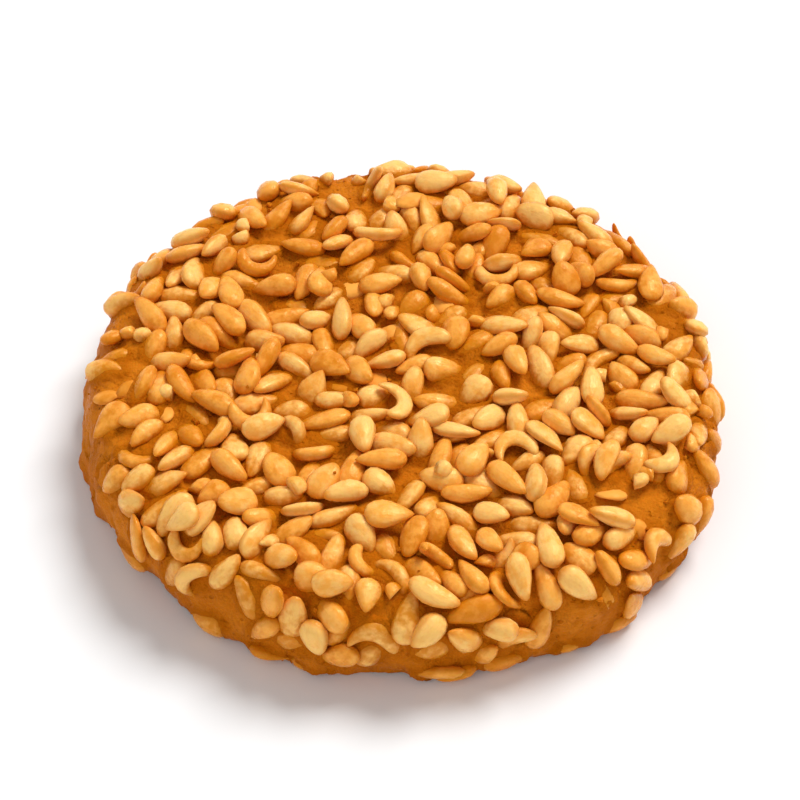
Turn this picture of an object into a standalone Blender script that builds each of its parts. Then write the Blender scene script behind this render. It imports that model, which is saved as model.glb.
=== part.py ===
"""Barazek: one small round sesame biscuit, lying on its flat baked underside.

Metres, +Z up. The origin is at the centre of the base, on the surface that the biscuit rests on.
The solid is the biscuit's full body out to the tops of its seeds: a pressed disc with a flat
foot, a rounded rim that is fullest low down, and a faintly crowned, uneven face.
"""

import math

import bpy
import bmesh
from mathutils import Vector, noise

# Driving dimensions
DIAMETER = 0.046            # mean width across the rim
THICKNESS = 0.0082          # mean height of the crown above the foot
CROWN_RISE = 0.0005         # how far the centre stands above the start of the shoulder
SHOULDER_WIDTH = 0.0042     # the rounded top edge, measured inwards from the rim
BELLY_HEIGHT = 0.0030       # where the rim is widest
FOOT_WIDTH = 0.0013         # how far the rim pulls in below its belly
SHOULDER_FULLNESS = 2.3     # exponents of the rim's rounding: 2 is an ellipse, more is squarer
FOOT_FULLNESS = 2.6

# Unevenness from shaping by hand and from spreading in the oven
OUTLINE_WAVES = (           # (waves round the rim, share of the radius, phase in degrees)
    (2, 0.0110, 25.0),
    (3, 0.0085, 140.0),
    (5, 0.0050, 200.0),
    (8, 0.0032, 70.0),
    (13, 0.0018, 310.0),
)
TILT_SHARE = 0.030          # one side is thicker than the other by this share, each way
TILT_ANGLE = math.radians(115.0)
FACE_LUMP_SIZE = 0.0085     # spacing of the gentle lumps on the face
FACE_LUMP_HEIGHT = 0.00035
LUMP_SEED = Vector((3.7, 1.9, 0.4))
RIM_LUMP_SIZE = 0.0052      # spacing of the smaller lumps round the rim
RIM_LUMP_HEIGHT = 0.00045
RIM_SPLITS = (              # (angle in degrees, width in degrees, depth in metres)
    (38.0, 4.2, 0.0004),
    (131.0, 5.0, 0.0006),
    (236.0, 3.8, 0.0004),
    (318.0, 4.6, 0.0005),
)

# Mesh fineness
SIDES = 96
CROWN_RINGS = 9
SHOULDER_RINGS = 9
FOOT_RINGS = 6
MERGE_DISTANCE = 0.00001

RADIUS = DIAMETER / 2
SHOULDER_RADIUS = RADIUS - SHOULDER_WIDTH
SHOULDER_START = THICKNESS - CROWN_RISE


def clear_scene():
    for obj in list(bpy.data.objects):
        bpy.data.objects.remove(obj)


def rounded_corner(fullness, rings):
    """Points (across, along) of a quarter superellipse from (0, 1) to (1, 0), without its first point."""
    points = []
    for ring in range(1, rings + 1):
        turn = math.pi / 2 * ring / rings
        points.append((math.sin(turn) ** (2 / fullness), math.cos(turn) ** (2 / fullness)))
    return points


def biscuit_profile():
    """(radius, height) points from the middle of the face, down the rim, to the middle of the foot."""
    points = []
    for ring in range(CROWN_RINGS + 1):
        share = ring / CROWN_RINGS
        points.append((SHOULDER_RADIUS * share, THICKNESS - CROWN_RISE * share ** 2))
    shoulder_height = SHOULDER_START - BELLY_HEIGHT
    for across, along in rounded_corner(SHOULDER_FULLNESS, SHOULDER_RINGS):
        points.append((SHOULDER_RADIUS + SHOULDER_WIDTH * across, BELLY_HEIGHT + shoulder_height * along))
    for across, along in reversed(rounded_corner(FOOT_FULLNESS, FOOT_RINGS)[:-1]):
        points.append((RADIUS - FOOT_WIDTH * (1 - across), BELLY_HEIGHT * (1 - along)))
    points.append((RADIUS - FOOT_WIDTH, 0.0))
    points.append((0.0, 0.0))
    return points


def turned_mesh(name, profile):
    """The profile turned round the Z axis by a Screw modifier, as a plain mesh."""
    outline = bpy.data.meshes.new(name + "_profile")
    edges = [(i, i + 1) for i in range(len(profile) - 1)]
    outline.from_pydata([(radius, 0.0, height) for radius, height in profile], edges, [])
    turner = bpy.data.objects.new(name + "_profile", outline)
    bpy.context.scene.collection.objects.link(turner)
    screw = turner.modifiers.new("turn", "SCREW")
    screw.axis = "Z"
    screw.angle = math.tau
    screw.steps = SIDES
    screw.render_steps = SIDES
    screw.use_merge_vertices = True
    screw.merge_threshold = MERGE_DISTANCE
    bpy.context.view_layer.update()
    evaluated = turner.evaluated_get(bpy.context.evaluated_depsgraph_get())
    mesh = bpy.data.meshes.new_from_object(evaluated)
    bpy.data.objects.remove(turner)
    bpy.data.meshes.remove(outline)
    mesh.name = name
    return mesh


def outline_share(angle):
    """How much wider than the mean the outline is at this angle, as a share of the radius."""
    return sum(size * math.cos(waves * angle + math.radians(phase)) for waves, size, phase in OUTLINE_WAVES)


def split_depth(angle):
    """How far the small splits bite into the rim at this angle."""
    depth = 0.0
    for place, width, deep in RIM_SPLITS:
        apart = (math.degrees(angle) - place + 180.0) % 360.0 - 180.0
        depth += deep * math.exp(-((apart / width) ** 2))
    return depth


def face_lump(point):
    """Height of the gentle lumps at a point of the face."""
    where = Vector((point.x, point.y, 0.0)) / FACE_LUMP_SIZE + LUMP_SEED
    return FACE_LUMP_HEIGHT * noise.noise(where)


def rim_lump(point):
    """How far the smaller lumps push the rim out at a point."""
    return RIM_LUMP_HEIGHT * noise.noise(point / RIM_LUMP_SIZE + LUMP_SEED)


def make_uneven(mesh):
    """Pushes the turned disc out of round. The foot stays flat, because every height is scaled from it."""
    for vertex in mesh.vertices:
        point = vertex.co
        radius = math.hypot(point.x, point.y)
        if radius < MERGE_DISTANCE:
            continue
        angle = math.atan2(point.y, point.x)
        share_out = radius / RADIUS
        share_up = point.z / THICKNESS
        lump = face_lump(point) * share_up
        tilt = TILT_SHARE * share_out * math.cos(angle - TILT_ANGLE)
        bite = split_depth(angle) * share_out ** 6 * (1.0 - share_up ** 2)
        bulge = rim_lump(point) * share_out ** 4 - bite
        wider = radius * (1.0 + outline_share(angle) * share_out ** 2) + bulge
        vertex.co = (
            wider * math.cos(angle),
            wider * math.sin(angle),
            point.z * (1.0 + tilt) + lump,
        )


def centre_on_base(mesh):
    """Puts the middle of the outline's box over the origin."""
    for axis in (0, 1):
        values = [vertex.co[axis] for vertex in mesh.vertices]
        middle = (min(values) + max(values)) / 2
        for vertex in mesh.vertices:
            vertex.co[axis] -= middle


def face_outwards(mesh):
    shape = bmesh.new()
    shape.from_mesh(mesh)
    bmesh.ops.recalc_face_normals(shape, faces=shape.faces)
    shape.to_mesh(mesh)
    shape.free()


def dough_material():
    material = bpy.data.materials.new("baked_sesame_dough")
    material.use_nodes = True
    shader = material.node_tree.nodes["Principled BSDF"]
    shader.inputs["Base Color"].default_value = (0.62, 0.27, 0.05, 1.0)
    shader.inputs["Roughness"].default_value = 0.5
    shader.inputs["Metallic"].default_value = 0.0
    return material


def main():
    clear_scene()
    parts = bpy.data.collections.new("barazek")
    bpy.context.scene.collection.children.link(parts)
    mesh = turned_mesh("biscuit", biscuit_profile())
    make_uneven(mesh)
    centre_on_base(mesh)
    face_outwards(mesh)
    mesh.shade_smooth()
    mesh.materials.append(dough_material())
    biscuit = bpy.data.objects.new("biscuit", mesh)
    parts.objects.link(biscuit)


main()
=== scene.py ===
"""Looks of a barazek: a small round biscuit of golden dough, coated with toasted sesame seeds.

Metres, +Z up, in the frame of the CAD biscuit, which lies on its flat underside with its face up.
The camera looks along +Y, so -Y is the biscuit's front and -X its left.
"""

import math

import bpy
import numpy as np
from numpy.random import default_rng
from bpy.props import FloatProperty, FloatVectorProperty, IntProperty, PointerProperty
from mathutils import Matrix, Vector, kdtree, noise
from mathutils.bvhtree import BVHTree


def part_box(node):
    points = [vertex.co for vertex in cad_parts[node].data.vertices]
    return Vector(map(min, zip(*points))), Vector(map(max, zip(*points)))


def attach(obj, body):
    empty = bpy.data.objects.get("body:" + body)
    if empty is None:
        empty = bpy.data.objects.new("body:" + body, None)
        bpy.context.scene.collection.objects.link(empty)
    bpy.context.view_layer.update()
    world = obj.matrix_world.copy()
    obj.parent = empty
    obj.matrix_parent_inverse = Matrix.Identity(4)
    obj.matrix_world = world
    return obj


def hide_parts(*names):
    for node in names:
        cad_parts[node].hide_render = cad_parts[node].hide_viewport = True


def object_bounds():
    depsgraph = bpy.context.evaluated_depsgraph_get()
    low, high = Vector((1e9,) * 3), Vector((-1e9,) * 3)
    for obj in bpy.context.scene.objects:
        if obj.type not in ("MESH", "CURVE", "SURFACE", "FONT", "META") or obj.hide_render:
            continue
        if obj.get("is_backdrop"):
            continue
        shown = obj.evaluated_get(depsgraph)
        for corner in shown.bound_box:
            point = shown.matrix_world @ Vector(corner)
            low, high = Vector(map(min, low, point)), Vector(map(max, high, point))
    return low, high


bl_info = {
    "name": "Barazek",
    "version": (1, 0, 0),
    "blender": (4, 5, 0),
    "location": "3D View > Sidebar > Barazek",
    "description": "Shapes a round sesame biscuit over its solid and lights it in a small studio",
    "category": "Mesh",
}

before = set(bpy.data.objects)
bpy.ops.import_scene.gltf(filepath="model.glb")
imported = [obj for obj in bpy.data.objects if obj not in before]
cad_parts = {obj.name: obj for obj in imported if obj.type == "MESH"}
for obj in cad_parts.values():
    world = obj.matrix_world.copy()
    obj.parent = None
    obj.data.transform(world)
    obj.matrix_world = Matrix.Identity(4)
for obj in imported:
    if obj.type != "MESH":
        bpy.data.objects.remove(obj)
CAD_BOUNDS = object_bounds()
LOWEST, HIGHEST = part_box("biscuit")
CENTRE = (LOWEST + HIGHEST) / 2
BISCUIT_RADIUS = (HIGHEST.x - LOWEST.x) / 2
BISCUIT_HEIGHT = HIGHEST.z - LOWEST.z
MM = 0.001


# ---- what a user would change


def size_setting(name, description, default):
    return FloatProperty(
        name=name, description=description, default=default, unit="LENGTH", precision=5)


def share_setting(name, description, default):
    return FloatProperty(name=name, description=description, default=default, subtype="FACTOR")


def strength_setting(name, description, default):
    return FloatProperty(name=name, description=description, default=default)


def colour_setting(name, description, default):
    return FloatVectorProperty(
        name=name, description=description, default=default, subtype="COLOR", size=3, min=0, max=1)


class DoughShape(bpy.types.PropertyGroup):
    """Sizes of the baked dough under the seeds."""

    coat_depth: size_setting("Coat depth", "From the tops of the seeds down to the dough", 0.00124)
    foot_depth: size_setting("Foot depth", "From the seeds below up to the dough", 0.00038)
    mesh_step: size_setting("Mesh step", "Spacing of the dough's mesh", 0.00022)
    lump_height: size_setting("Lump height", "Height of the broad lumps of the dough", 0.00075)
    pimple_height: size_setting("Pimple height", "Height of the small bumps of the crust", 0.00032)
    crack_depth: size_setting("Crack depth", "Depth of the cracks of rim and underside", 0.00034)
    pores: IntProperty(name="Pores", description="Number of small holes left by gas", default=420)


class SeedCoat(bpy.types.PropertyGroup):
    """Sizes and spread of the sesame seeds."""

    length: size_setting("Length", "Mean length of a seed", 0.00326)
    width: size_setting("Width", "Mean width of a seed", 0.00191)
    thickness: size_setting("Thickness", "Mean thickness of a seed", 0.00113)
    room: FloatProperty(
        name="Room", description="Surface that each seed takes where the coat is full",
        default=3.80e-6, unit="AREA", precision=8)
    face_cover: share_setting("Face cover", "Share of the full coat on the face", 1.0)
    rim_cover: share_setting("Rim cover", "Share of the full coat on the rim", 0.85)
    under_cover: share_setting("Underside cover", "Share of the full coat below", 0.42)
    piled: share_setting("Piled seeds", "Share of further seeds that lie on the others", 0.20)
    buried: share_setting("Buried seeds", "Share of the bare spots with a seed below", 0.45)
    glue_rise: size_setting("Glue rise", "How far the dough climbs up the sides of a seed", 0.00034)


class BiscuitColours(bpy.types.PropertyGroup):
    """Colours of the baked dough and of the toasted seeds."""

    dough: colour_setting("Dough", "Golden dough of the bare patches", (0.73, 0.214, 0.009))
    toasted: colour_setting("Toasted dough", "Redder dough of the mottles", (0.51, 0.122, 0.001))
    # the amber of the syrup on the seeds, also used as painted shade on their sides and round their
    # feet
    glaze_and_shade: colour_setting("Glaze", "Amber of the syrup that climbs the seeds", (0.66, 0.212, 0.003))
    # dough soaked with syrup at the seeds' feet, also used as painted shade there and in the pores,
    # cracks and pits
    soaked_and_shaded: colour_setting("Soaked dough", "Dark dough at the seeds' feet", (0.50, 0.124, 0.001))
    seed_pale: colour_setting("Pale seed", "Palest, creamiest seeds", (1.0, 0.570, 0.162))
    seed_golden: colour_setting("Golden seed", "Most seeds", (0.95, 0.410, 0.066))
    seed_toasted: colour_setting("Toasted seed", "Darkest seeds, and tips", (0.74, 0.238, 0.012))


class Studio(bpy.types.PropertyGroup):
    """The floor, the light and the camera."""

    elevation: FloatProperty(
        name="Camera elevation", description="Angle of the view above the floor",
        default=math.radians(48), subtype="ANGLE")
    lens: FloatProperty(name="Lens", description="Focal length", default=120.0, unit="CAMERA")
    view_width: size_setting("View width", "Width of the picture at the biscuit", 0.0562)
    key_strength: strength_setting("Key strength", "Strength of the main light", 2.75)
    fill_strength: strength_setting("Fill strength", "Strength of the light opposite", 0.43)
    sky: strength_setting("Sky", "Strength of the light from above", 0.38)
    horizon: strength_setting("Horizon", "Brightness of the air low down", 1.0)
    floor: colour_setting("Floor", "Colour of the floor", (0.90, 0.90, 0.90))


# ---- tools for meshes


def work_on(piece):
    """Selects one piece alone, so that the operators act on nothing else."""
    bpy.ops.object.select_all(action="DESELECT")
    piece.select_set(True)
    bpy.context.view_layer.objects.active = piece


def new_primitive(add, **settings):
    """Adds a primitive while nothing else is selected."""
    bpy.ops.object.select_all(action="DESELECT")
    add(**settings)
    return bpy.context.object


def new_piece(name, mesh):
    piece = bpy.data.objects.new(name, mesh)
    bpy.context.scene.collection.objects.link(piece)
    return piece


def edit_all(piece):
    work_on(piece)
    bpy.ops.object.mode_set(mode="EDIT")
    bpy.ops.mesh.select_all(action="SELECT")


def stop_editing():
    bpy.ops.object.mode_set(mode="OBJECT")


def face_outwards(piece):
    edit_all(piece)
    bpy.ops.mesh.normals_make_consistent(inside=False)
    stop_editing()


def apply_modifier(piece, name, kind, **settings):
    work_on(piece)
    modifier = piece.modifiers.new(name, kind)
    for setting, value in settings.items():
        setattr(modifier, setting, value)
    bpy.ops.object.modifier_apply(modifier=modifier.name)


def rows_of(source, field):
    values = np.empty(len(source) * 3, np.float32)
    source.foreach_get(field, values)
    return values.reshape(-1, 3).astype(float)


def points_of(piece):
    return rows_of(piece.data.vertices, "co")


def normals_of(piece):
    return rows_of(piece.data.vertices, "normal")


def lie_of(piece):
    """The way out of the smooth body at each point, kept from before its lumps and pores."""
    return rows_of(piece.data.attributes["lie"].data, "vector")


def move_points(piece, points):
    piece.data.vertices.foreach_set("co", points.astype(np.float32).ravel())
    piece.data.update()


def store(piece, name, values):
    """Keeps one number or one vector for each vertex as a mesh attribute."""
    kind, field = ("FLOAT", "value") if values.ndim == 1 else ("FLOAT_VECTOR", "vector")
    attribute = piece.data.attributes.new(name, kind, "POINT")
    attribute.data.foreach_set(field, values.astype(np.float32).ravel())


def tree_of(points):
    tree = kdtree.KDTree(len(points))
    for index, point in enumerate(points):
        tree.insert(point, index)
    tree.balance()
    return tree


def nearest_points(tree, places):
    return np.array([tree.find(place)[1] for place in places])


def lengths(vectors):
    return np.linalg.norm(vectors, axis=-1, keepdims=True)


def unit(vectors):
    return vectors / np.maximum(lengths(vectors), 1e-12)


def any_way(ups, rng):
    """A heading at random along the surface for each way up."""
    return unit(np.cross(ups, rng.normal(size=ups.shape)))


def smooth_step(values, start, end):
    """0 up to start, 1 from end, and an even ramp between them."""
    share = np.clip((values - start) / (end - start), 0.0, 1.0)
    return share * share * (3.0 - 2.0 * share)


def turned_from(points, bearing):
    """Degrees round the biscuit from each point to a bearing, 0 at its right and 90 at its back."""
    angles = np.degrees(np.arctan2(points[:, 1] - CENTRE.y, points[:, 0] - CENTRE.x))
    return np.abs((angles - bearing + 180.0) % 360.0 - 180.0)


# ---- tools for materials


def new_material(name):
    """A material with only its Principled shader and output, and the shader."""
    material = bpy.data.materials.new(name)
    material.use_nodes = True
    return material, material.node_tree.nodes["Principled BSDF"]


def feed(node, inputs):
    """Sets a node's inputs to values, or links them to sockets."""
    for name, value in inputs.items():
        if isinstance(value, bpy.types.NodeSocket):
            node.id_data.links.new(value, node.inputs[name])
        else:
            node.inputs[name].default_value = value


def add_node(beside, kind, inputs, **settings):
    """A node in the tree of another node or socket, with its settings and its inputs."""
    made = beside.id_data.nodes.new(kind)
    for setting, value in settings.items():
        setattr(made, setting, value)
    feed(made, inputs)
    return made


def attribute(shader, name, socket="Fac"):
    made = add_node(
        shader, "ShaderNodeAttribute", {}, attribute_name=name, attribute_type="GEOMETRY")
    return made.outputs[socket]


def clouds(place, size, detail=3.0, roughness=0.55):
    """Soft noise from 0 to 1, with lumps of about that size in millimetres."""
    inputs = {"Vector": place, "Scale": 1.0 / (size * MM), "Detail": detail, "Roughness": roughness}
    return add_node(place, "ShaderNodeTexNoise", inputs).outputs["Fac"]


def cells(place, size):
    """Distance to the nearest of points about that many millimetres apart, in cells."""
    inputs = {"Vector": place, "Scale": 1.0 / (size * MM)}
    return add_node(place, "ShaderNodeTexVoronoi", inputs).outputs["Distance"]


def stirred(place, size, reach):
    """The place pushed about by noise, so that cells there have no straight sides."""
    push = add_node(place, "ShaderNodeTexNoise", {"Vector": place, "Scale": 1.0 / (size * MM)})
    inputs = {0: push.outputs["Color"], "Scale": reach * MM}
    push = add_node(place, "ShaderNodeVectorMath", inputs, operation="SCALE")
    inputs = {0: place, 1: push.outputs[0]}
    return add_node(place, "ShaderNodeVectorMath", inputs, operation="ADD").outputs[0]


def ramp(value, low, high, start=0.0, end=1.0):
    """start where value is low, end where it is high, and smooth between."""
    inputs = {"Value": value, "From Min": low, "From Max": high, "To Min": start, "To Max": end}
    made = add_node(value, "ShaderNodeMapRange", inputs, interpolation_type="SMOOTHSTEP")
    return made.outputs["Result"]


def maths(operation, first, second):
    inputs = {0: first, 1: second}
    return add_node(first, "ShaderNodeMath", inputs, operation=operation).outputs[0]


def times(first, second):
    return maths("MULTIPLY", first, second)


def most(first, *others):
    """The greatest of several values."""
    for other in others:
        first = maths("MAXIMUM", first, other)
    return first


def mixed(share, first, second):
    """The first colour where share is 0, and the second, a plain one, where it is 1."""
    if not isinstance(first, bpy.types.NodeSocket):
        first = (*first, 1.0)
    inputs = {0: share, 6: first, 7: (*second, 1.0)}
    return add_node(share, "ShaderNodeMix", inputs, data_type="RGBA").outputs[2]


def bump(height, strength, depth):
    inputs = {"Height": height, "Strength": strength, "Distance": depth * MM}
    return add_node(height, "ShaderNodeBump", inputs).outputs["Normal"]


# ---- the dough


LUMP_SIZE = 6.5 * MM
PIMPLE_SIZE = 1.5 * MM
GRAIN_SIZE = 0.6 * MM
GRAIN_HEIGHT = 0.10 * MM
SMOOTHING_ROUNDS = 4
CRACK_SPACING = 3.4 * MM
CRACK_WIDTH = 0.045
RAGGED_SIZE = 1.7 * MM
RAGGED_REACH = 0.35 * MM
RAGGED_HEIGHT = 2.2 * MM
PORE_RADII = (0.20 * MM, 0.48 * MM)
PORE_DEPTHS = (0.05 * MM, 0.16 * MM)
MERGE_DISTANCE = 0.01 * MM
FLOOR_GAP = 0.02 * MM  # between the biscuit and what it lies on
LOOK_APART = Vector((11.3, 4.7, 2.9))
SHEEN_TINT = (1.0, 0.66, 0.30, 1.0)  # the warm gloss of fat and syrup


def copy_of_cad_biscuit(name):
    """The CAD biscuit's mesh as a new piece, with its loose triangles joined up."""
    piece = new_piece(name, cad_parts["biscuit"].data.copy())
    piece.data.materials.clear()
    edit_all(piece)
    bpy.ops.mesh.remove_doubles(threshold=MERGE_DISTANCE)
    stop_editing()
    face_outwards(piece)
    return piece


def draw_in(piece, coat_depth, foot_depth):
    """Shrinks the body under its coat, then lets its foot down to the seeds that it stands on."""
    edit_all(piece)
    bpy.ops.transform.shrink_fatten(value=-coat_depth)
    top = HIGHEST.z - coat_depth
    stretch = (top - foot_depth) / (top - coat_depth)
    bpy.ops.transform.resize(value=(1, 1, stretch), center_override=(CENTRE.x, CENTRE.y, top))
    stop_editing()


def even_mesh(piece, step):
    """An even mesh of small faces over the body, smoothed."""
    apply_modifier(piece, "even", "REMESH", mode="VOXEL", voxel_size=step, use_smooth_shade=True)
    apply_modifier(piece, "smooth", "SMOOTH", factor=0.5, iterations=SMOOTHING_ROUNDS)


def raise_lumps(piece, name, size, height, depth=2):
    """Pushes the surface in and out along its normals by a cloudy pattern."""
    pattern = bpy.data.textures.new(name, "CLOUDS")
    pattern.noise_scale = size
    pattern.noise_depth = depth
    apply_modifier(piece, name, "DISPLACE", texture=pattern, strength=height, mid_level=0.5)


def crack_pattern(point):
    """1 on the winding lines of the cracks, 0 off them."""
    place = Vector(point) / CRACK_SPACING + LOOK_APART
    line = abs(noise.noise(place)) / CRACK_WIDTH
    broken = noise.noise(place * 0.6 - LOOK_APART)
    return max(0.0, 1.0 - line) * min(1.0, max(0.0, broken * 5.0 + 0.3))


def open_cracks(piece, depth):
    """Fine cracks round the rim and over the underside, where the crust dried and spread."""
    points, normals = points_of(piece), normals_of(piece)
    cracked = np.zeros(len(points))
    for i in np.nonzero(normals[:, 2] < 0.7)[0]:
        cracked[i] = crack_pattern(points[i])
    move_points(piece, points - normals * cracked[:, None] * depth)
    # kept to darken the cracks with painted shade
    store(piece, "crack", cracked)


def tear_foot(piece):
    """An uneven, slightly torn edge where the rim meets the flat underside."""
    points, normals = points_of(piece), normals_of(piece)
    low = 1.0 - smooth_step(points[:, 2], 0.4 * RAGGED_HEIGHT, RAGGED_HEIGHT)
    sideways = normals * (1.0, 1.0, 0.0)
    near_edge = np.nonzero((low > 0.0) & (lengths(sideways)[:, 0] > 0.2))[0]
    for i in near_edge:
        place = Vector(points[i]) / RAGGED_SIZE
        push = RAGGED_REACH * noise.fractal(place, 1.0, 2.0, 3)
        points[i] += sideways[i] * push * low[i]
    move_points(piece, points)


def open_pores(piece, count, rng):
    """Small round holes left by gas, strewn over the whole crust."""
    points, normals = points_of(piece), normals_of(piece)
    tree = tree_of(points)
    sink = np.zeros(len(points))
    for middle in rng.choice(len(points), count, replace=False):
        radius = rng.uniform(*PORE_RADII)
        depth = rng.uniform(*PORE_DEPTHS)
        for _, index, distance in tree.find_range(points[middle], radius):
            sink[index] = max(sink[index], depth * (1.0 - (distance / radius) ** 2))
    move_points(piece, points - normals * sink[:, None])
    # kept to darken the pores with painted shade
    store(piece, "pore", sink / PORE_DEPTHS[1])


def rest_on_floor(piece):
    """Flattens what reaches below the surface that the biscuit lies on."""
    points = points_of(piece)
    points[:, 2] = np.maximum(points[:, 2], LOWEST.z + FLOOR_GAP)
    move_points(piece, points)


def shape_dough(sizes, rng):
    dough = copy_of_cad_biscuit("biscuit_dough")
    draw_in(dough, sizes.coat_depth, sizes.foot_depth)
    even_mesh(dough, sizes.mesh_step)
    store(dough, "lie", normals_of(dough))
    raise_lumps(dough, "broad_lumps", LUMP_SIZE, sizes.lump_height)
    raise_lumps(dough, "pimples", PIMPLE_SIZE, sizes.pimple_height)
    tear_foot(dough)
    open_cracks(dough, sizes.crack_depth)
    open_pores(dough, sizes.pores, rng)
    raise_lumps(dough, "grain", GRAIN_SIZE, GRAIN_HEIGHT)
    dough.data.shade_smooth()
    return dough


def dough_material(colours):
    """Golden baked dough: mottled, browner low down, with painted shade in its pores and round the
    seeds.
    """
    material, shader = new_material("golden_crust")
    place = add_node(shader, "ShaderNodeTexCoord", {}).outputs["Object"]
    height = add_node(place, "ShaderNodeSeparateXYZ", {"Vector": place}).outputs["Z"]
    uneven = ramp(clouds(place, 0.7), 0.3, 0.7, -0.18, 0.18)
    nestled = maths("ADD", attribute(shader, "nestled"), uneven)

    mottle = ramp(clouds(place, 5.5, 5.0, 0.6), 0.40, 0.66, 0.0, 0.60)
    blotch = ramp(clouds(place, 1.7, 4.0, 0.65), 0.50, 0.74, 0.0, 0.55)
    freckles = ramp(clouds(place, 0.55, 3.0, 0.7), 0.60, 0.76, 0.0, 0.55)
    crazing = maths("SUBTRACT", clouds(place, 0.9, 4.0, 0.6), 0.5)
    crazing = ramp(maths("ABSOLUTE", crazing, 0.0), 0.022, 0.0)
    dry = ramp(clouds(place, 3.1, 2.0), 0.44, 0.62)
    crazing = times(crazing, dry)
    pitted = ramp(clouds(place, 1.3, 2.0), 0.42, 0.60)
    pits = times(ramp(cells(place, 0.60), 0.25, 0.10), pitted)
    browned = most(mottle, blotch, freckles, times(crazing, 0.35))
    colour = mixed(browned, colours.dough, colours.toasted)
    low_down = ramp(height, 3.0 * MM, 0.3 * MM, 0.0, 0.70)
    colour = mixed(low_down, colour, colours.toasted)
    pore, crack = attribute(shader, "pore"), attribute(shader, "crack")
    # painted shade: the pores, cracks and pits are darkened, and so is the dough round each seed's
    # foot, which is partly syrup-soaked and partly painted shade
    hollow_shade = most(times(pore, 0.55), times(crack, 0.75), times(pits, 0.70))
    soaked_and_shaded = most(ramp(nestled, 0.10, 0.90, 0.0, 0.80), hollow_shade)
    colour = mixed(soaked_and_shaded, colour, colours.soaked_and_shaded)

    wet_patches = ramp(clouds(place, 2.6), 0.38, 0.62, 0.32, 0.58)
    dull = most(wet_patches, ramp(nestled, 0.2, 0.9, 0.2, 0.65))
    grain = clouds(place, 0.30, 5.0, 0.7)
    crumb = clouds(place, 0.95)
    sand = cells(stirred(place, 0.5, 0.35), 0.36)
    relief = maths("ADD", times(grain, 0.70), crumb)
    for dip, share in ((sand, 0.30), (crazing, 0.10), (pits, 0.40)):
        relief = maths("SUBTRACT", relief, times(dip, share))
    feed(shader, {
        "Base Color": colour,
        "Roughness": dull,
        "Normal": bump(relief, 1.0, 0.30),
        "Subsurface Weight": 0.12,
        "Subsurface Radius": (1.0, 0.45, 0.10),
        "Subsurface Scale": 0.6 * MM,
        "Specular IOR Level": 0.06,
        "Specular Tint": SHEEN_TINT,
    })
    return material


# ---- the sesame seeds


SEED_SIDES = 10
SEED_RINGS = 9
SIZE_SPREAD = np.array((0.10, 0.10, 0.12))
DISC_PLACES = np.array((-0.29, 0.0, 0.27))  # along the seed, in lengths
DISC_RADII = np.array((0.40, 0.47, 0.32))  # in widths
CROWDING = 0.88  # below 1, discs may lie over each other
STREWN_APART = 1.31 * MM  # least distance of the seeds' middles when strewn
SETTLING_STEPS = 45
GIVE_WAY = 0.55  # share of the push that a seed follows in one step
TURN_INERTIA = 0.16  # of a seed, in squares of its length
MOST_TURN = 0.3  # radians in one step
SEED_REACH = 4.1 * MM
SEED_GIVE = 0.08 * MM  # how far piled seeds sink into each other
SINK_SHARES = (0.18, 0.66)  # how much of its thickness a seed sinks in
STEEP_SHARE = 0.18  # seeds that stand up out of the coat
STEEP_TILTS = (0.33, 0.55)  # spread of their pitch and roll, in radians,
FLAT_TILTS = (0.07, 0.17)  # and that of the other seeds
PERCH_ON_FACE = 2.5  # highest middle of a seed that lies on others,
PERCH_ON_RIM = 1.1  # in halves of its thickness above the dough
RIM_TO_FACE = (0.86, 0.985)  # how level the dough is where the one ends and the other begins
GLUE_WIDTH = 0.58 * MM
GLUE_SHARE_BELOW = 0.15  # of the full glue rise, round the seeds of the underside
NESTLED_WIDTH = 0.68 * MM
FOOT_RADIUS = BISCUIT_RADIUS - 2.0 * MM
COAT_ALLOWANCE = 0.20 * MM  # how far the highest seeds may stand above the CAD biscuit
LIFT_STEPS = 30
CLOSE_ENOUGH = 0.01 * MM

# Straight seeds: (length, width and thickness against the mean, taper, tip, bend in degrees)
SEED_MODELS = (
    (1.00, 1.00, 1.00, -0.50, 0.02, 0),
    (1.04, 0.88, 1.06, -0.66, 0.05, 12),
    (0.92, 1.08, 0.96, -0.36, 0.00, 0),
    (1.00, 0.96, 1.12, -0.54, 0.01, 22),
    (0.96, 1.04, 0.92, -0.80, 0.06, -14),
    (1.06, 0.84, 0.98, -0.34, 0.02, 34),
    (0.90, 0.98, 1.16, -0.58, 0.03, -28),
)
CURLED_MODELS = (
    (1.22, 0.66, 0.80, -0.45, 0.03, 140),
    (1.35, 0.60, 0.74, -0.35, 0.02, 215),
)
TONE_SPREAD = (1.2, 1.8)  # more seeds are pale than well toasted
LOW_DOWN = (1.2 * MM, 4.5 * MM)  # heights where the extra browning low down fades out
LOW_TOASTING = 0.28
TOAST_SIZE = 9.0 * MM  # of the patches that are browner or paler
PATCH_TOASTING = 0.45
DENT_SIZE = 1.25 * MM
DENT_HEIGHT = 0.13 * MM
CURLED_SHARE = 0.075
CURLED_RINGS = 15

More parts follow.
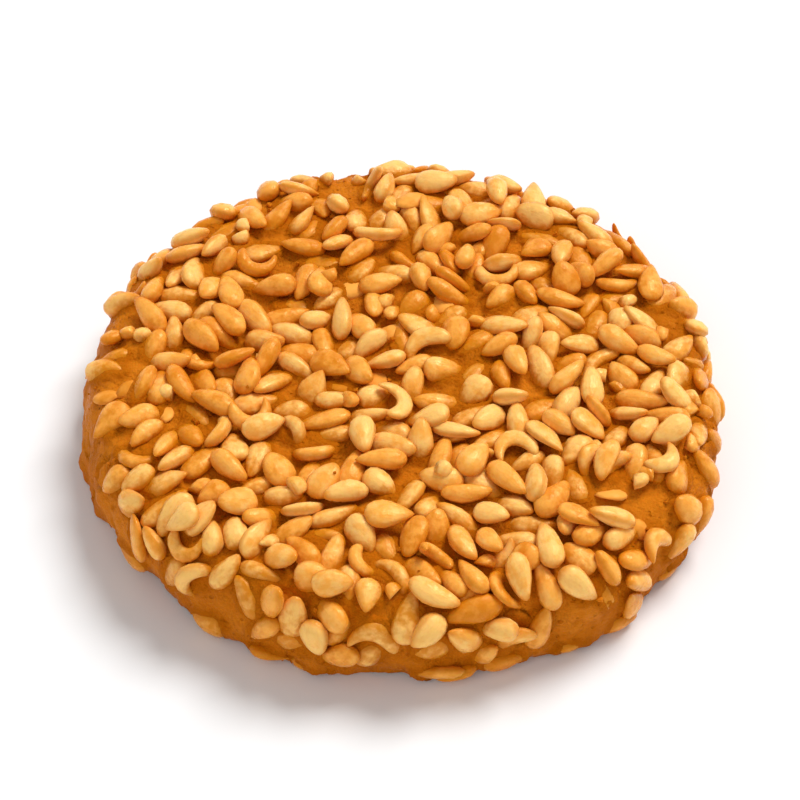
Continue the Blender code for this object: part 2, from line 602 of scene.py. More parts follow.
# Bare patches of the face: (bearing in degrees, share of the radius, width in mm, bareness)
BARE_PATCHES = (
    (104.0, 0.80, 2.9, 0.95),
    (128.0, 0.66, 2.3, 0.85),
    (170.0, 0.93, 3.2, 0.90),
    (185.0, 0.91, 3.8, 0.95),
    (201.0, 0.93, 3.2, 0.90),
    (322.0, 0.84, 3.0, 0.90),
    (352.0, 0.60, 1.5, 0.60),
    (262.0, 0.55, 1.3, 0.50),
    (20.0, 0.86, 2.6, 0.75),
)
SMOOTH_BEARING = 186.0  # the side of the rim that took no seeds, in degrees
SMOOTH_SPREAD = (18.0, 36.0)
PATCH_SIZE = 4.5 * MM  # of the uneven spread of the seeds
BURIED_WIDTH = 1.45  # of the bulge over a buried seed, against the seed
BURIED_RISE = 0.70  # of its height


def lying_ball(sides, rings, sizes):
    """A ball stretched to that size, with its poles at its ends along X, still in edit mode."""
    ball = new_primitive(
        bpy.ops.mesh.primitive_uv_sphere_add, segments=sides, ring_count=rings, radius=0.5)
    edit_all(ball)
    bpy.ops.transform.rotate(value=math.pi / 2, orient_axis="Y", center_override=(0, 0, 0))
    bpy.ops.transform.resize(value=sizes, center_override=(0, 0, 0))
    return ball


def model_seed(sizes, taper, tip, bend, rings):
    """A plump drop of that size along X, with its point at +X, bent if it has curled."""
    seed = lying_ball(SEED_SIDES, rings, sizes)
    bpy.ops.mesh.select_all(action="DESELECT")
    stop_editing()
    end = max(seed.data.vertices, key=lambda vertex: vertex.co.x)
    end.select = True
    bpy.ops.object.mode_set(mode="EDIT")
    bpy.ops.transform.translate(
        value=(tip * sizes[0], 0, 0), use_proportional_edit=True,
        proportional_edit_falloff="SHARP", proportional_size=0.4 * sizes[0])
    stop_editing()
    apply_modifier(
        seed, "taper", "SIMPLE_DEFORM", deform_method="TAPER", deform_axis="X", factor=taper)
    spread = [wanted / found for wanted, found in zip(sizes, seed.dimensions)]
    edit_all(seed)
    bpy.ops.transform.resize(value=spread, center_override=(0, 0, 0))
    stop_editing()
    bend = math.radians(bend)
    apply_modifier(seed, "bend", "SIMPLE_DEFORM", deform_method="BEND", deform_axis="Z", angle=bend)
    seed.data.transform(Matrix.Translation(LOOK_APART * sizes[1] * taper))
    raise_lumps(seed, "dents", DENT_SIZE, DENT_HEIGHT, 1)
    corners = points_of(seed)
    move_points(seed, corners - (corners.min(axis=0) + corners.max(axis=0)) / 2)
    face_outwards(seed)
    seed.data.shade_smooth()
    return seed


def coat_cover(points, lie, coat):
    """Share of the full coat at each point: dense on the face, patchy on the rim, thin below."""
    patchy = np.array([noise.noise(Vector(point) / PATCH_SIZE + LOOK_APART) for point in points])
    face = np.full(len(points), coat.face_cover)
    for angle, share, width, bareness in BARE_PATCHES:
        across = math.radians(angle)
        spot = CENTRE.xy + Vector((math.cos(across), math.sin(across))) * share * BISCUIT_RADIUS
        gap = lengths(points[:, :2] - np.array(spot))[:, 0] * (1.0 + 0.5 * patchy)
        width *= MM
        face *= 1.0 - bareness * (1.0 - smooth_step(gap, 0.75 * width, 1.1 * width))
    height = (points[:, 2] - LOWEST.z) / BISCUIT_HEIGHT
    rim = coat.rim_cover * (0.45 + 0.9 * smooth_step(height, 0.15, 0.6)) + 0.8 * patchy
    smooth_side = 1.0 - smooth_step(turned_from(points, SMOOTH_BEARING), *SMOOTH_SPREAD)
    rim = rim * (1.0 - 0.92 * smooth_side)
    under = coat.under_cover + 0.6 * patchy
    cover = np.where(lie[:, 2] < -0.5, under, rim)
    onto_face = smooth_step(lie[:, 2], 0.45, 0.8)
    return cover * (1.0 - onto_face) + face * onto_face


def strew(points, count, rng):
    """Indexes of points spread over the whole surface, none too near another."""
    chosen = np.empty((count, 3))
    found = []
    for index in rng.permutation(len(points)):
        if found and (lengths(chosen[:len(found)] - points[index]) < STREWN_APART).any():
            continue
        chosen[len(found)] = points[index]
        found.append(index)
        if len(found) == count:
            break
    return np.array(found)


def slide(centres, headings, normals, coat):
    """One small step that pushes crowded seeds apart and turns them."""
    arms = headings[:, None] * (DISC_PLACES * coat.length)[:, None]
    discs = centres[:, None] + arms
    radii = DISC_RADII * coat.width
    apart = lengths(centres[:, None] - centres[None])[..., 0]
    first, second = np.nonzero(np.triu(apart < SEED_REACH, 1))
    gaps = discs[first][:, :, None] - discs[second][:, None]
    space = lengths(gaps)
    overlap = np.maximum((radii[:, None] + radii)[..., None] * CROWDING - space, 0.0)
    push = gaps / np.maximum(space, 1e-9) * overlap * 0.5
    force = np.zeros((len(centres), 3, 3))
    np.add.at(force, first, push.sum(axis=2))
    np.add.at(force, second, -push.sum(axis=1))
    twist = (np.cross(arms, force).sum(axis=1) * normals).sum(axis=1, keepdims=True)
    turn = np.clip(twist / (TURN_INERTIA * coat.length ** 2), -MOST_TURN, MOST_TURN)
    headings = headings + np.cross(normals, headings) * turn
    return centres + GIVE_WAY * force.sum(axis=1), headings


def on_surface(centres, headings, points, lie, tree):
    """The seeds brought back to the dough: their places, their headings, and the way up there."""
    nearest = nearest_points(tree, centres)
    normals = lie[nearest]
    lift = ((centres - points[nearest]) * normals).sum(axis=1, keepdims=True)
    centres = centres - normals * lift
    headings = headings - normals * (headings * normals).sum(axis=1, keepdims=True)
    return centres, unit(headings), normals


def tops_over(places, up, centres, turns, halves):
    """How high the seeds stand over each place along up, with 0 where none does."""
    start = np.einsum("ski,kij->skj", places[:, None] - centres[None], turns) / halves
    along = np.einsum("i,kij->kj", up, turns) / halves
    square = (along ** 2).sum(axis=-1)
    half = (start * along).sum(axis=-1)
    reach = half ** 2 - square * ((start ** 2).sum(axis=-1) - 1.0)
    top = np.where(reach > 0.0, (np.sqrt(np.maximum(reach, 0.0)) - half) / square, 0.0)
    return np.maximum(top, 0.0).max(axis=1)


# Places under a seed that may meet a neighbour, in half lengths and half widths
FEELERS = np.array((
    (0.0, 0.0), (0.45, 0.0), (-0.45, 0.0), (0.88, 0.0), (-0.88, 0.0),
    (0.3, 0.6), (-0.3, 0.6), (0.3, -0.6), (-0.3, -0.6),
    (0.0, 0.88), (0.0, -0.88), (0.65, 0.5), (-0.65, 0.5), (0.65, -0.5), (-0.65, -0.5),
))


def rest_height(half, sink, pitch, roll, tops):
    """Height, pitch and roll at which a seed lies on what is below it."""
    across = FEELERS * half[:2]
    belly = -half[2] * np.sqrt(1.0 - (FEELERS ** 2).sum(axis=1))
    wanted = np.where(tops > 0.0, tops - SEED_GIVE, -sink)
    height = half[2] - sink
    inertia = half[:2] ** 2 / 4.0
    for _ in range(LIFT_STEPS):
        short = wanted - (height + across[:, 0] * pitch + across[:, 1] * roll + belly)
        worst = short.argmax()
        if short[worst] < CLOSE_ENOUGH:
            break
        step = short[worst] / (1.0 + (across[worst] ** 2 / inertia).sum())
        height += step
        pitch += across[worst][0] / inertia[0] * step
        roll += across[worst][1] / inertia[1] * step
    return height, pitch, roll


def turned_axes(heading, up, pitch, roll):
    """The seed's own axes as the columns of a matrix, after it pitches and rolls."""
    side = np.cross(up, heading)
    ahead = heading * math.cos(pitch) + up * math.sin(pitch)
    above = up * math.cos(pitch) - heading * math.sin(pitch)
    left = side * math.cos(roll) + above * math.sin(roll)
    above = above * math.cos(roll) - side * math.sin(roll)
    return np.stack((ahead, left, above), axis=1)


def lie_along_foot(centres, headings):
    """Turns the seeds near the foot's corner along it, because across it they would stick out."""
    outwards = (centres - np.array(CENTRE)) * (1.0, 1.0, 0.0)
    beyond = lengths(outwards)[:, 0] - FOOT_RADIUS
    from_corner = np.stack((beyond, centres[:, 2] - LOWEST.z), axis=1)
    near = 1.0 - smooth_step(lengths(from_corner), 1.2 * MM, 3.0 * MM)
    along = unit(np.cross(outwards, (0.0, 0.0, 1.0)))
    along *= np.where((along * headings).sum(axis=1, keepdims=True) < 0.0, -1.0, 1.0)
    return unit(headings * (1.0 - near) + along * near)


def plan_coat(dough, coat, rng):
    """How the seeds lie on the dough, and how others lie under its surface."""
    points, lie = points_of(dough), lie_of(dough)
    tree = tree_of(points)
    area = sum(polygon.area for polygon in dough.data.polygons)
    chosen = strew(points, int(area / coat.room), rng)
    centres, normals = points[chosen], lie[chosen]
    headings = any_way(normals, rng)
    for _ in range(SETTLING_STEPS):
        centres, headings = slide(centres, headings, normals, coat)
        centres, headings, normals = on_surface(centres, headings, points, lie, tree)
    headings = lie_along_foot(centres, headings)
    kept = rng.random(len(centres)) < coat_cover(centres, normals, coat)
    under = ~kept & (rng.random(len(centres)) < coat.buried)
    buried = lay_seeds(centres[under], headings[under], normals[under], coat, rng)
    centres, headings, normals = centres[kept], headings[kept], normals[kept]
    count = int(coat.piled * len(centres))
    extra = rng.choice(np.nonzero(normals[:, 2] > 0.3)[0], count, replace=False)
    beside = unit(np.cross(normals[extra], headings[extra])) * coat.width * 0.6
    centres = np.concatenate((centres, centres[extra] + beside))
    headings = np.concatenate((headings, any_way(normals[extra], rng)))
    centres, headings, normals = on_surface(centres, headings, points, lie, tree)
    return lay_seeds(centres, headings, normals, coat, rng), buried


def lay_seeds(centres, headings, normals, coat, rng):
    """Lays each seed on the earlier ones that it overlaps, or leaves it out if it is too high."""
    count = len(centres)
    halves = mean_size(coat) / 2 * (1.0 + SIZE_SPREAD * rng.normal(size=(count, 3)).clip(-2, 2))
    steep = rng.random((count, 1)) < STEEP_SHARE
    tilts = np.where(steep, STEEP_TILTS, FLAT_TILTS)
    pitches = rng.normal(size=count) * tilts[:, 0]
    rolls = rng.normal(size=count) * tilts[:, 1]
    sinks = rng.uniform(*SINK_SHARES, size=count) * halves[:, 2] * 2
    turns = np.zeros((count, 3, 3))
    middles = centres.copy()
    onto_face = smooth_step(normals[:, 2], *RIM_TO_FACE)
    perch_limits = PERCH_ON_RIM + (PERCH_ON_FACE - PERCH_ON_RIM) * onto_face
    fits = np.ones(count, bool)
    for i in range(count):
        near = np.nonzero(fits[:i] & (lengths(middles[:i] - centres[i])[:, 0] < SEED_REACH))[0]
        side = np.cross(normals[i], headings[i])
        feelers = FEELERS * halves[i][:2]
        places = centres[i] + feelers[:, :1] * headings[i] + feelers[:, 1:] * side
        tops = np.zeros(len(FEELERS))
        if len(near):
            tops = tops_over(places, normals[i], middles[near], turns[near], halves[near])
        height, pitch, roll = rest_height(halves[i], sinks[i], pitches[i], rolls[i], tops)
        turns[i] = turned_axes(headings[i], normals[i], pitch, roll)
        middles[i] = centres[i] + normals[i] * height
        top = middles[i, 2] + math.sqrt(((turns[i, 2] * halves[i]) ** 2).sum())
        perch = perch_limits[i] * halves[i, 2]
        fits[i] = top < HIGHEST.z + COAT_ALLOWANCE + SEED_GIVE and height < perch
    lowest = middles[:, 2] - np.sqrt(((turns[:, 2] * halves) ** 2).sum(axis=1))
    middles[:, 2] += np.maximum(FLOOR_GAP - lowest, 0.0)
    return {"middles": middles[fits], "turns": turns[fits], "halves": halves[fits]}


def points_by_seed(points, plan, wider, further):
    """Each seed's middle, axes and halves, with the indexes of the points that it reaches."""
    tree = tree_of(points)
    for middle, turn, half in zip(plan["middles"], plan["turns"], plan["halves"]):
        reach = half[0] * wider + further
        near = np.array([found[1] for found in tree.find_range(middle, reach)], int)
        if len(near):
            yield middle, turn, half, near


def raise_dough(dough, plan, glue_rise):
    """Lets the dough climb the sides of each seed, and marks how near a seed each point lies."""
    points = points_of(dough)
    rise = np.zeros(len(points))
    nestled = np.zeros(len(points))
    for middle, turn, half, near in points_by_seed(points, plan, 1.0, NESTLED_WIDTH):
        away = points[near] - middle
        scaled = lengths(away @ turn / half)[:, 0]
        gap = lengths(away)[:, 0] * (1.0 - 1.0 / np.maximum(scaled, 0.2))
        climb = glue_rise * (1.0 - gap / GLUE_WIDTH).clip(0.0, 1.0) ** 2
        rise[near] = np.maximum(rise[near], climb)
        nestled[near] = np.maximum(nestled[near], (1.0 - gap / NESTLED_WIDTH).clip(0.0, 1.0))
    rise[lie_of(dough)[:, 2] < -0.7] *= GLUE_SHARE_BELOW
    move_points(dough, points + normals_of(dough) * rise[:, None])
    # kept to darken the dough round the seeds' feet: painted shade, partly syrup soak
    store(dough, "nestled", nestled)


def bury_seeds(dough, plan):
    """Closes the dough over some seeds, which then show only as soft bulges."""
    points = points_of(dough)
    rise = np.zeros(len(points))
    for middle, turn, half, near in points_by_seed(points, plan, BURIED_WIDTH, 0.0):
        scaled = (points[near] - middle) @ turn / half
        out = (scaled[:, 0] ** 2 + scaled[:, 1] ** 2) / BURIED_WIDTH ** 2
        dome = (1.0 - out).clip(0.0, 1.0) ** 1.6 * BURIED_RISE * half[2]
        rise[near] = np.maximum(rise[near], dome)
    move_points(dough, points + lie_of(dough) * rise[:, None])


def mark_heights(piece, dough):
    """Keeps how far each point of a piece stands above the dough, in millimetres."""
    surface = points_of(dough)
    lie = lie_of(dough)
    tree = tree_of(surface)
    points = points_of(piece)
    nearest = nearest_points(tree, points)
    store(piece, "above", ((points - surface[nearest]) * lie[nearest]).sum(axis=1) / MM)


def within_limits(corners):
    """A seed moved up off the floor or down under the coat's top, if it reaches past either."""
    too_low = max(FLOOR_GAP - corners[:, 2].min(), 0.0)
    too_high = max(corners[:, 2].max() - HIGHEST.z - COAT_ALLOWANCE, 0.0)
    return corners + (0.0, 0.0, too_low - too_high)


def faces_of(model):
    """The model's faces in an order that is the same each time, which edit mode's isn't."""
    faces = []
    for face in model.data.polygons:
        corners = list(face.vertices)
        start = corners.index(min(corners))
        faces.append(corners[start:] + corners[:start])
    return sorted(faces)


def joined_copies(name, models, which, plan, mean, rng):
    """One mesh of many copies, each scaled, turned and placed by the plan. The models go."""
    corners, faces = [], []
    marks = {"grain": [], "tone": [], "tip": [], "flank": []}
    count = 0
    shapes = [points_of(model) for model in models]
    model_faces = [faces_of(model) for model in models]
    for middle, turn, half, tone, kind in zip(
            plan["middles"], plan["turns"], plan["halves"], plan["tones"], which):
        shape = shapes[kind] * (half * 2 / mean)
        corners.append(within_limits(shape @ turn.T + middle))
        faces.extend([[corner + count for corner in face] for face in model_faces[kind]])
        marks["grain"].append(shape + rng.uniform(-0.1, 0.1, size=3))
        marks["tone"].append(np.full(len(shape), tone))
        marks["tip"].append(shape[:, 0] / half[0])
        marks["flank"].append(1.0 - np.abs(shape[:, 2]) / half[2])
        count += len(shape)
    mesh = bpy.data.meshes.new(name)
    mesh.from_pydata(np.concatenate(corners), [], faces)
    piece = new_piece(name, mesh)
    for mark, values in marks.items():
        store(piece, mark, np.concatenate(values))
    mesh.shade_smooth()
    for model in models:
        bpy.data.objects.remove(model)
    return piece


def seed_tones(plan, rng):
    """From 0, pale, to 1, well toasted: seeds low down, and in some patches, are browner."""
    middles = plan["middles"]
    tones = rng.beta(*TONE_SPREAD, size=len(middles))
    low = 1.0 - smooth_step(middles[:, 2], *LOW_DOWN)
    patchy = np.array([noise.noise(Vector(middle) / TOAST_SIZE - LOOK_APART) for middle in middles])
    return np.clip(tones + LOW_TOASTING * low + PATCH_TOASTING * patchy, 0.0, 1.0)


def mean_size(coat):
    return np.array((coat.length, coat.width, coat.thickness))


def model_seeds(models, coat, rings=SEED_RINGS):
    return [
        model_seed((mean_size(coat) * shares).tolist(), taper, tip, bend, rings)
        for *shares, taper, tip, bend in models]


def press_seeds(dough, coat, rng):
    """Coats the dough: the straight seeds as one piece and the curled ones as another."""
    plan, buried = plan_coat(dough, coat, rng)
    plan["tones"] = seed_tones(plan, rng)
    bury_seeds(dough, buried)
    raise_dough(dough, plan, coat.glue_rise)
    rest_on_floor(dough)
    curled = rng.random(len(plan["middles"])) < CURLED_SHARE
    pieces = []
    for name, models, rings, chosen in (
            ("sesame_seeds", SEED_MODELS, SEED_RINGS, ~curled),
            ("curled_seeds", CURLED_MODELS, CURLED_RINGS, curled)):
        shapes = model_seeds(models, coat, rings)
        part = {key: values[chosen] for key, values in plan.items()}
        which = rng.integers(len(shapes), size=len(part["tones"]))
        pieces.append(joined_copies(name, shapes, which, part, mean_size(coat), rng))
        mark_heights(pieces[-1], dough)
    return pieces


def seed_material(name, colours):
    """Toasted sesame: each seed with its own tone, browner tips, faint streaks and a soft gloss."""
    material, shader = new_material(name)
    grain = attribute(shader, "grain", "Vector")
    blotch = ramp(clouds(grain, 0.9), 0.35, 0.70, -0.20, 0.24)
    toast = maths("ADD", attribute(shader, "tone"), blotch)
    colour = mixed(ramp(toast, 0.05, 0.55), colours.seed_pale, colours.seed_golden)
    colour = mixed(ramp(toast, 0.50, 1.05), colour, colours.seed_toasted)
    tip = attribute(shader, "tip")
    ends = most(ramp(tip, 0.62, 1.15, 0.0, 0.75), ramp(tip, -0.80, -1.02, 0.0, 0.35))
    colour = mixed(ends, colour, colours.seed_toasted)
    # the seeds' sides turn amber: partly toasting along their edges, partly painted shade where the
    # seeds meet
    flank = ramp(attribute(shader, "flank"), 0.34, 0.98, 0.0, 0.62)
    colour = mixed(flank, colour, colours.glaze_and_shade)
    long_way = add_node(grain, "ShaderNodeMapping", {"Vector": grain, "Scale": (0.25, 1.0, 1.0)})
    streak = clouds(long_way.outputs["Vector"], 0.16, 2.0)
    colour = mixed(ramp(streak, 0.50, 0.75, 0.0, 0.22), colour, colours.seed_toasted)
    lumps = clouds(grain, 0.5, 2.0)
    # amber low on each seed, near the dough: partly syrup glaze, partly painted shade at the seed's
    # foot
    syrup_and_shade_line = maths("ADD", attribute(shader, "above"), ramp(lumps, 0.3, 0.7, -0.14, 0.14))
    colour = mixed(ramp(syrup_and_shade_line, 0.62, 0.02, 0.0, 0.95), colour, colours.glaze_and_shade)

    relief = maths("ADD", times(streak, 0.35), lumps)
    feed(shader, {
        "Base Color": colour,
        "Roughness": ramp(clouds(grain, 0.7, 2.0), 0.3, 0.7, 0.22, 0.42),
        "Normal": bump(relief, 0.9, 0.08),
        "Subsurface Weight": 0.30,
        "Subsurface Radius": (1.0, 0.55, 0.15),
        "Subsurface Scale": 0.4 * MM,
        "Specular IOR Level": 0.38,
        "Specular Tint": SHEEN_TINT,
    })
    return material


def hull_material(colours):
    """The papery skin of a seed: golden straw with browner blotches."""
    material, shader = new_material("seed_hull")
    blotch = clouds(attribute(shader, "grain", "Vector"), 0.6)
    toast = maths("ADD", times(attribute(shader, "tone"), 0.6), blotch)
    feed(shader, {
        "Base Color": mixed(ramp(toast, 0.45, 1.25), colours.seed_golden, colours.seed_toasted),
        "Roughness": ramp(blotch, 0.3, 0.7, 0.38, 0.6),
        "Normal": bump(blotch, 0.7, 0.06),
        "Specular IOR Level": 0.25,
        "Specular Tint": SHEEN_TINT,
    })
    return material


# ---- hulls and crumbs


HULL_SIZE = np.array((2.6, 1.7, 0.9)) * MM
HULL_WALL = 0.06 * MM
BREAK_PLANES = ((1.0, 0.35, 0.1), (1.0, -0.2, 0.4), (1.0, 0.6, -0.3))
ON_SEED_SHARE = 0.05  # of what would land on a seed, how much stays,
LEVEL_ENOUGH = 0.975  # and how level the face must be there
ABOVE = 4.0 * MM

# Loose bits: their number; the range of their sizes against the model's, with one draw for all ways
# or three; the share of their height that sinks in; the spread of their slope in radians; and their
# chances of staying where the coat is at least so level, the most level first
HULLS = {
    "count": 15, "sizes": ((0.6, 1.15, 1),), "sunk": 0.65, "slope": 0.16,
    "chances": ((0.95, 0.25), (0.72, 0.9))}  # most where the face turns down into the rim
CHIPS = {
    "count": 42, "sizes": ((0.55, 0.85, 3),), "sunk": 0.1, "slope": 0.3,
    "chances": ((0.88, 1.0),)}  # on the face alone
CRUMBS = {
    "count": 64, "sizes": ((0.16 * MM, 0.50 * MM, 1), (0.6, 1.0, 3)), "sunk": 0.25, "slope": 1.0,
    "chances": ((0.4, 1.0), (-2.0, 0.06))}  # all over, but few on the rim


def model_hull():
    """A thin domed flake: part of the empty skin of a seed."""
    hull = lying_ball(8, 7, HULL_SIZE)
    bpy.ops.mesh.bisect(plane_co=(0, 0, 0.09 * MM), plane_no=(0.16, 0.08, 1), clear_inner=True)
    stop_editing()
    raise_lumps(hull, "crumples", 0.9 * MM, 0.20 * MM, 1)
    apply_modifier(hull, "wall", "SOLIDIFY", thickness=HULL_WALL)
    face_outwards(hull)
    return hull


def model_crumb():
    """A rough grain of baked dough, one unit across."""
    crumb = new_primitive(bpy.ops.mesh.primitive_ico_sphere_add, subdivisions=2, radius=0.5)
    raise_lumps(crumb, "crumb_lumps", 0.30, 0.9, 2)
    return crumb


def landing_places(coated, count, chances, rng):
    """Where things dropped on the dough and its seeds come to rest, and the way up there."""
    graph = bpy.context.evaluated_depsgraph_get()
    trees = [BVHTree.FromObject(piece, graph) for piece in coated]
    points, lie = points_of(coated[0]), lie_of(coated[0])
    places, ups = [], []
    for index in rng.permutation(len(points)):
        level = lie[index][2]
        if rng.random() > next((chance for least, chance in chances if level >= least), 0.0):
            continue
        start = Vector(points[index] + lie[index] * ABOVE)
        hits = [tree.ray_cast(start, Vector(-lie[index])) for tree in trees]
        depths = [hit[3] if hit[0] else 1.0 for hit in hits]
        nearest = int(np.argmin(depths))
        if nearest and (level < LEVEL_ENOUGH or rng.random() > ON_SEED_SHARE):
            continue
        places.append(hits[nearest][0])
        ups.append(lie[index])
        if len(places) == count:
            break
    return np.array(places), np.array(ups)


def strew_copies(name, models, mean, coated, rng, count, sizes, sunk, slope, chances):
    """Copies of the models where they landed, turned at random, a little tilted, and sunk in."""
    places, ups = landing_places(coated, count, chances, rng)
    halves = mean / 2
    for least, greatest, ways in sizes:
        halves = halves * rng.uniform(least, greatest, size=(count, ways))
    headings = any_way(ups, rng)
    pitches, rolls = rng.normal(size=(2, count)) * slope
    turns = [turned_axes(*each) for each in zip(headings, ups, pitches, rolls)]
    middles = places + ups * (halves[:, 2] * (1.0 - 2.0 * sunk))[:, None]
    plan = {"middles": middles, "turns": turns, "halves": halves, "tones": rng.random(count)}
    return joined_copies(name, models, rng.integers(len(models), size=count), plan, mean, rng)


def break_off(seed, plane):
    """Leaves the blunt end of a seed, with a flat face where the rest broke off."""
    edit_all(seed)
    bpy.ops.mesh.bisect(plane_co=(0, 0, 0), plane_no=plane, use_fill=True, clear_outer=True)
    stop_editing()
    face_outwards(seed)


def strew_chips(coated, coat, rng):
    """Broken seeds in the gaps of the coat."""
    models = model_seeds(SEED_MODELS[:3], coat)
    for model, plane in zip(models, BREAK_PLANES):
        break_off(model, plane)
    chips = strew_copies("seed_chips", models, mean_size(coat), coated, rng, **CHIPS)
    mark_heights(chips, coated[0])
    return chips


def strew_hulls(coated, rng):
    return strew_copies("seed_hulls", [model_hull()], HULL_SIZE, coated, rng, **HULLS)


def strew_crumbs(coated, rng):
    crumbs = strew_copies("dough_crumbs", [model_crumb()], np.ones(3), coated, rng, **CRUMBS)
    crumbs.data.shade_flat()
    return crumbs


# ---- the studio


FLOOR_WIDTH = 3.0
LIGHT_DISTANCE = 0.3
AIM_OFFSET = Vector((0.0, 0.0, -0.6 * MM))  # of the picture's middle, from the biscuit's
GLOW_TOP = math.sin(math.radians(6))  # the air is at its brightest up to here
GLOW_END = math.sin(math.radians(26))


def plain_material(name, colour):
    material, shader = new_material(name)
    feed(shader, {"Base Color": (*colour, 1.0), "Roughness": 0.9, "Specular IOR Level": 0.1})
    return material


def lay_floor(colour):
    floor = new_primitive(bpy.ops.mesh.primitive_plane_add, size=FLOOR_WIDTH, location=(0, 0, 0))
    floor.name = "floor"
    floor.data.materials.append(plain_material("pale_floor", colour))
    floor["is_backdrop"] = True


def add_light(name, azimuth, elevation, spread, strength):
    """A soft parallel light. Azimuth 0 shines from behind the biscuit and 90 from its right."""
    across, up = math.radians(azimuth), math.radians(elevation)
    way = Vector((math.sin(across) * math.cos(up), math.cos(across) * math.cos(up), math.sin(up)))
    bpy.ops.object.light_add(type="SUN", location=CENTRE + way * LIGHT_DISTANCE)
    light = bpy.context.object
    light.name = name
    light.rotation_euler = way.to_track_quat("Z", "Y").to_euler()
    light.data.angle = math.radians(spread)
    light.data.energy = strength


def light_the_air(overhead, horizon):
    """Even light from above, brighter low down, where the air meets the floor."""
    world = bpy.data.worlds.new("studio_air")
    bpy.context.scene.world = world
    world.use_nodes = True
    background = world.node_tree.nodes["Background"]
    way = add_node(background, "ShaderNodeTexCoord", {}).outputs["Generated"]
    height = add_node(way, "ShaderNodeSeparateXYZ", {"Vector": way}).outputs["Z"]
    glow = ramp(height, GLOW_TOP, GLOW_END, horizon, overhead)
    feed(background, {"Color": (1.0, 1.0, 1.0, 1.0), "Strength": glow})


def place_camera(studio):
    """Looks at the biscuit's middle from the front, far enough off for the wanted picture width."""
    up = studio.elevation
    back = Vector((0.0, -math.cos(up), math.sin(up)))
    bpy.ops.object.camera_add(location=(0, 0, 0))
    camera = bpy.context.object
    camera.name = "camera"
    camera.data.lens = studio.lens
    distance = studio.view_width * studio.lens / camera.data.sensor_width
    camera.location = CENTRE + AIM_OFFSET + back * distance
    camera.rotation_euler = back.to_track_quat("Z", "Y").to_euler()
    camera.data.clip_start = 0.01
    bpy.context.scene.camera = camera


# ---- operators


def coated_biscuit():
    """The dough and the seeds on it."""
    return [bpy.data.objects[name] for name in ("biscuit_dough", "sesame_seeds", "curled_seeds")]


class BARAZEK_OT_dough(bpy.types.Operator):
    """Shape the baked dough under the seeds"""

    bl_idname = "barazek.dough"
    bl_label = "Bake the dough"

    def execute(self, context):
        scene = context.scene
        dough = shape_dough(scene.barazek_dough, default_rng(11))
        dough.data.materials.append(dough_material(scene.barazek_colours))
        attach(dough, "root")
        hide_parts("biscuit")
        return {"FINISHED"}


class BARAZEK_OT_seeds(bpy.types.Operator):
    """Press the sesame seeds into the dough"""

    bl_idname = "barazek.seeds"
    bl_label = "Press in the seeds"

    def execute(self, context):
        scene = context.scene
        dough = bpy.data.objects["biscuit_dough"]
        material = seed_material("glazed_sesame", scene.barazek_colours)
        for piece in press_seeds(dough, scene.barazek_coat, default_rng(23)):
            piece.data.materials.append(material)
            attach(piece, "root")
        return {"FINISHED"}


class BARAZEK_OT_hulls(bpy.types.Operator):
    """Strew flakes of seed skin and broken seeds"""

    bl_idname = "barazek.hulls"
    bl_label = "Strew hulls and chips"

    def execute(self, context):
        coated = coated_biscuit()
        chips = strew_chips(coated, context.scene.barazek_coat, default_rng(37))
        chips.data.materials.append(coated[1].data.materials[0])
        hulls = strew_hulls(coated, default_rng(41))
        hulls.data.materials.append(hull_material(context.scene.barazek_colours))
        for piece in (chips, hulls):
            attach(piece, "root")
        return {"FINISHED"}


class BARAZEK_OT_crumbs(bpy.types.Operator):
    """Strew crumbs of dough"""

    bl_idname = "barazek.crumbs"
    bl_label = "Strew crumbs"

    def execute(self, context):
        coated = coated_biscuit()
        crumbs = strew_crumbs(coated, default_rng(53))
        crumbs.data.materials.append(coated[0].data.materials[0])
        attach(crumbs, "root")
        return {"FINISHED"}


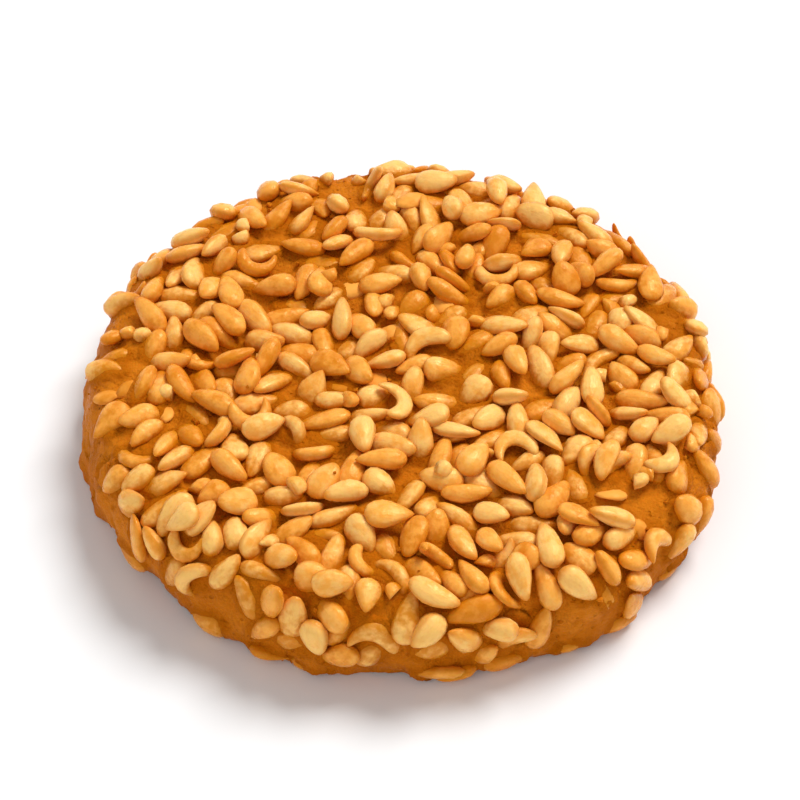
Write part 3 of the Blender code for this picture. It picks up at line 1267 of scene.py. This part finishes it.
class BARAZEK_OT_studio(bpy.types.Operator):
    """Lay the floor and set the lights and the camera"""

    bl_idname = "barazek.studio"
    bl_label = "Set the studio"

    def execute(self, context):
        studio = context.scene.barazek_studio
        lay_floor(studio.floor)
        light_the_air(studio.sky, studio.horizon)
        add_light("key", azimuth=40, elevation=52, spread=28, strength=studio.key_strength)
        add_light("fill", azimuth=215, elevation=38, spread=50, strength=studio.fill_strength)
        place_camera(studio)
        context.scene.view_settings.view_transform = "Standard"
        return {"FINISHED"}


class BARAZEK_PT_panel(bpy.types.Panel):
    """Steps that make the biscuit, in order"""

    bl_label = "Barazek"
    bl_idname = "BARAZEK_PT_panel"
    bl_space_type = "VIEW_3D"
    bl_region_type = "UI"
    bl_category = "Barazek"

    def draw(self, context):
        for step in STEPS:
            self.layout.operator(step.bl_idname)


GROUPS = {
    "barazek_dough": DoughShape,
    "barazek_coat": SeedCoat,
    "barazek_colours": BiscuitColours,
    "barazek_studio": Studio,
}
STEPS = (
    BARAZEK_OT_dough,
    BARAZEK_OT_seeds,
    BARAZEK_OT_hulls,
    BARAZEK_OT_crumbs,
    BARAZEK_OT_studio,
)


def register():
    for name, group in GROUPS.items():
        bpy.utils.register_class(group)
        setattr(bpy.types.Scene, name, PointerProperty(type=group))
    for step in STEPS:
        bpy.utils.register_class(step)
    bpy.utils.register_class(BARAZEK_PT_panel)


def unregister():
    bpy.utils.unregister_class(BARAZEK_PT_panel)
    for step in reversed(STEPS):
        bpy.utils.unregister_class(step)
    for name, group in GROUPS.items():
        delattr(bpy.types.Scene, name)
        bpy.utils.unregister_class(group)


def write_sizes():
    """Both boxes, as plain lists: the CAD model's and the visual model's."""
    boxes = {"cad": CAD_BOUNDS, "visual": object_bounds()}
    {name: [list(corner) for corner in box] for name, box in boxes.items()}


def main():
    register()
    bpy.ops.barazek.dough()
    bpy.ops.barazek.seeds()
    bpy.ops.barazek.hulls()
    bpy.ops.barazek.crumbs()
    bpy.ops.barazek.studio()
    write_sizes()


if __name__ == "__main__":
    main()
